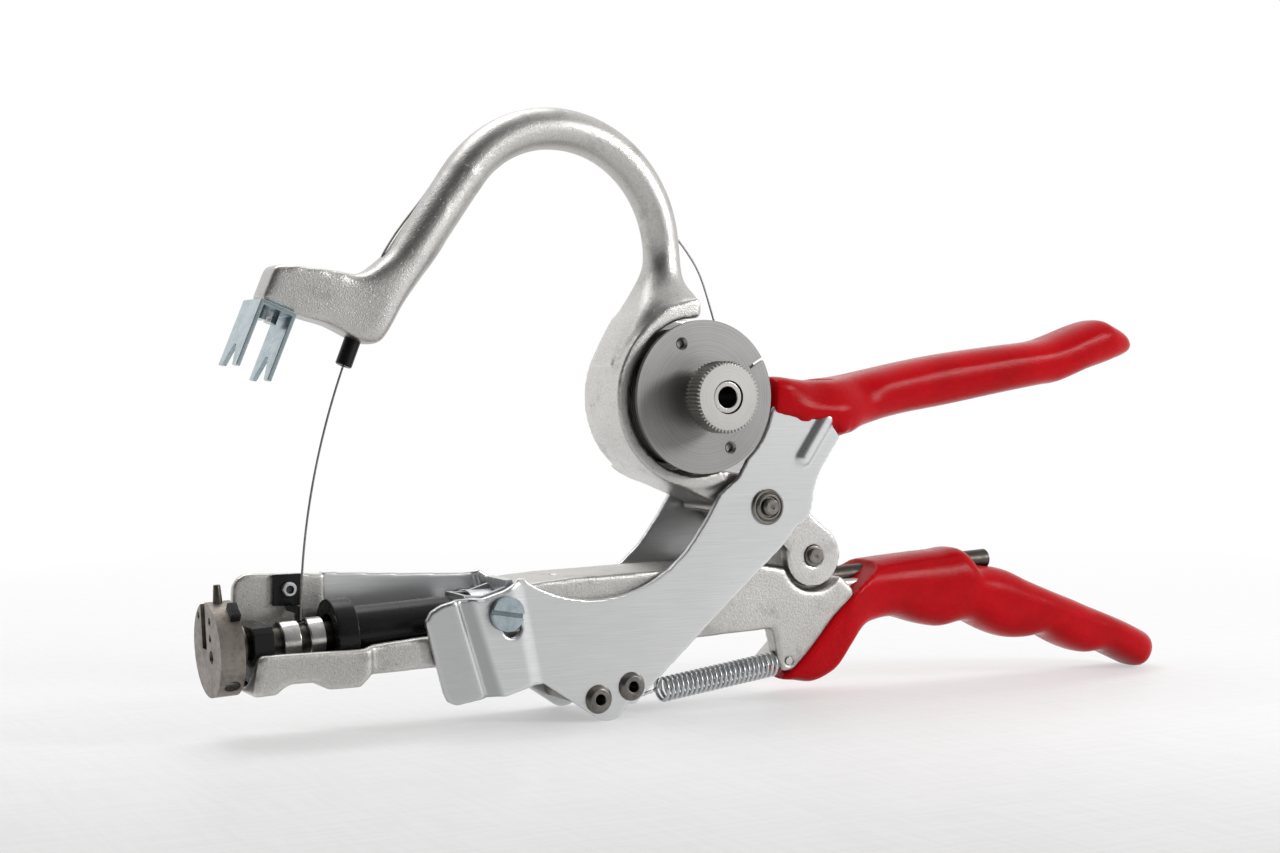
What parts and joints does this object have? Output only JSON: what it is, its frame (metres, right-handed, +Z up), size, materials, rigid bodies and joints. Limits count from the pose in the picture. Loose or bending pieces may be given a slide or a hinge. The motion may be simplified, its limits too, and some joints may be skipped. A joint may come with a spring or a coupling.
{
  "type": "vine wire-tying plier",
  "caption": "Hand plier that feeds wire from a spool over a swinging arm and twists it shut with a rotating slotted head; two squeeze handles, side plates, return spring.",
  "frame": {"origin": "middle of the bounding box in x and y, on the floor that the plate tips and the lower grip stand on", "axes": "+X along the beam from the twisting head to the handles, +Z up from the floor, +Y away from the spool knob"},
  "size_m": [0.3208, 0.048, 0.1725],
  "materials": {
    "cast_aluminium": "cast, satin",
    "sheet_aluminium": "brushed sheet",
    "red_vinyl": "soft dipped vinyl, semi-gloss",
    "zinc_steel": "zinc plated",
    "dark_steel": "oiled, worn",
    "black_steel": "black oxide, satin",
    "bright_steel": "ground bright",
    "bronze": "plain bearing bronze",
    "wire": "annealed wire"
  },
  "bodies": {
    "lower_lever": {"lower_casting": "cast_aluminium", "lower_grip": "red_vinyl", "arm_pivot_pin": "zinc_steel", "front_bearing": "black_steel", "rear_bush": "bronze", "gripper_bracket": "black_steel", "gripper_screw": "zinc_steel", "spring_pin": "zinc_steel", "return_spring": "zinc_steel"},
    "spring_end": {"spring_hook": "zinc_steel"},
    "slide": {"drive_sleeve": "black_steel", "sleeve_collar": "black_steel", "slide_yoke": "dark_steel", "slide_screws": "zinc_steel", "drive_nut": "bronze"},
    "twister": {"twister_head": "dark_steel", "head_pin": "bright_steel", "head_key": "black_steel", "head_screws": "dark_steel", "twister_shaft": "dark_steel", "shaft_bands": "bright_steel"},
    "plates": {"near_plate": "sheet_aluminium", "far_plate": "sheet_aluminium", "upper_grip": "red_vinyl", "handle_spacer": "cast_aluminium", "tip_rivets": "zinc_steel", "link_pin": "zinc_steel", "link_washers": "zinc_steel"},
    "arm": {"arm_casting": "cast_aluminium", "fork_plate": "zinc_steel", "fork_screw": "zinc_steel", "wire_nozzle": "black_steel", "spool_axle": "zinc_steel", "wire_run": "wire", "wire_span": "wire"},
    "spool": {"spool_core": "zinc_steel", "near_flange": "zinc_steel", "wire_pack": "wire", "wire_winding": "wire"},
    "knob": {"knob": "zinc_steel"}
  },
  "joints": [
    {"name": "arm_swing", "type": "hinge", "parent": "lower_lever", "child": "arm", "pos_m": [0.02014, 0.00545, 0.0432], "axis": [0, -1, 0], "range_deg": [0, 22], "stiffness_Nm_per_rad": 2, "springref_deg": -25.78, "deforming": ["wire_span"]},
    {"name": "handle_squeeze", "type": "hinge", "parent": "arm", "child": "plates", "pos_m": [0.00173, 0.00545, 0.0585], "axis": [0, 1, 0], "range_deg": [0, 30]},
    {"name": "drive_slide", "type": "slide", "parent": "lower_lever", "child": "slide", "axis": [-0.9986, 0, -0.0536], "range_m": [0, 0.0056]},
    {"name": "twister_spin", "type": "hinge", "parent": "lower_lever", "child": "twister", "pos_m": [-0.15976, 0.00545, 0.025], "axis": [-0.9986, 0, -0.0536], "range_deg": [0, 360]},
    {"name": "spring_stretch", "type": "slide", "parent": "lower_lever", "child": "spring_end", "axis": [-0.9927, 0, -0.1204], "range_m": [0, 0.0109], "deforming": ["return_spring"]},
    {"name": "spool_spin", "type": "hinge", "parent": "arm", "child": "spool", "pos_m": [-0.01966, 0.00545, 0.0906], "axis": [0, 1, 0], "continuous": true},
    {"name": "knob_turn", "type": "hinge", "parent": "arm", "child": "knob", "pos_m": [-0.01966, 0.00545, 0.0906], "axis": [0, 1, 0], "continuous": true}
  ],
  "couplings": [
    {"joint": "handle_squeeze", "follows": "arm_swing", "ratio": 1.3636},
    {"joint": "drive_slide", "follows": "arm_swing", "m_per_rad": 0.014584},
    {"joint": "twister_spin", "follows": "arm_swing", "ratio": 16.364},
    {"joint": "spring_stretch", "follows": "arm_swing", "m_per_rad": 0.028335}
  ]
}
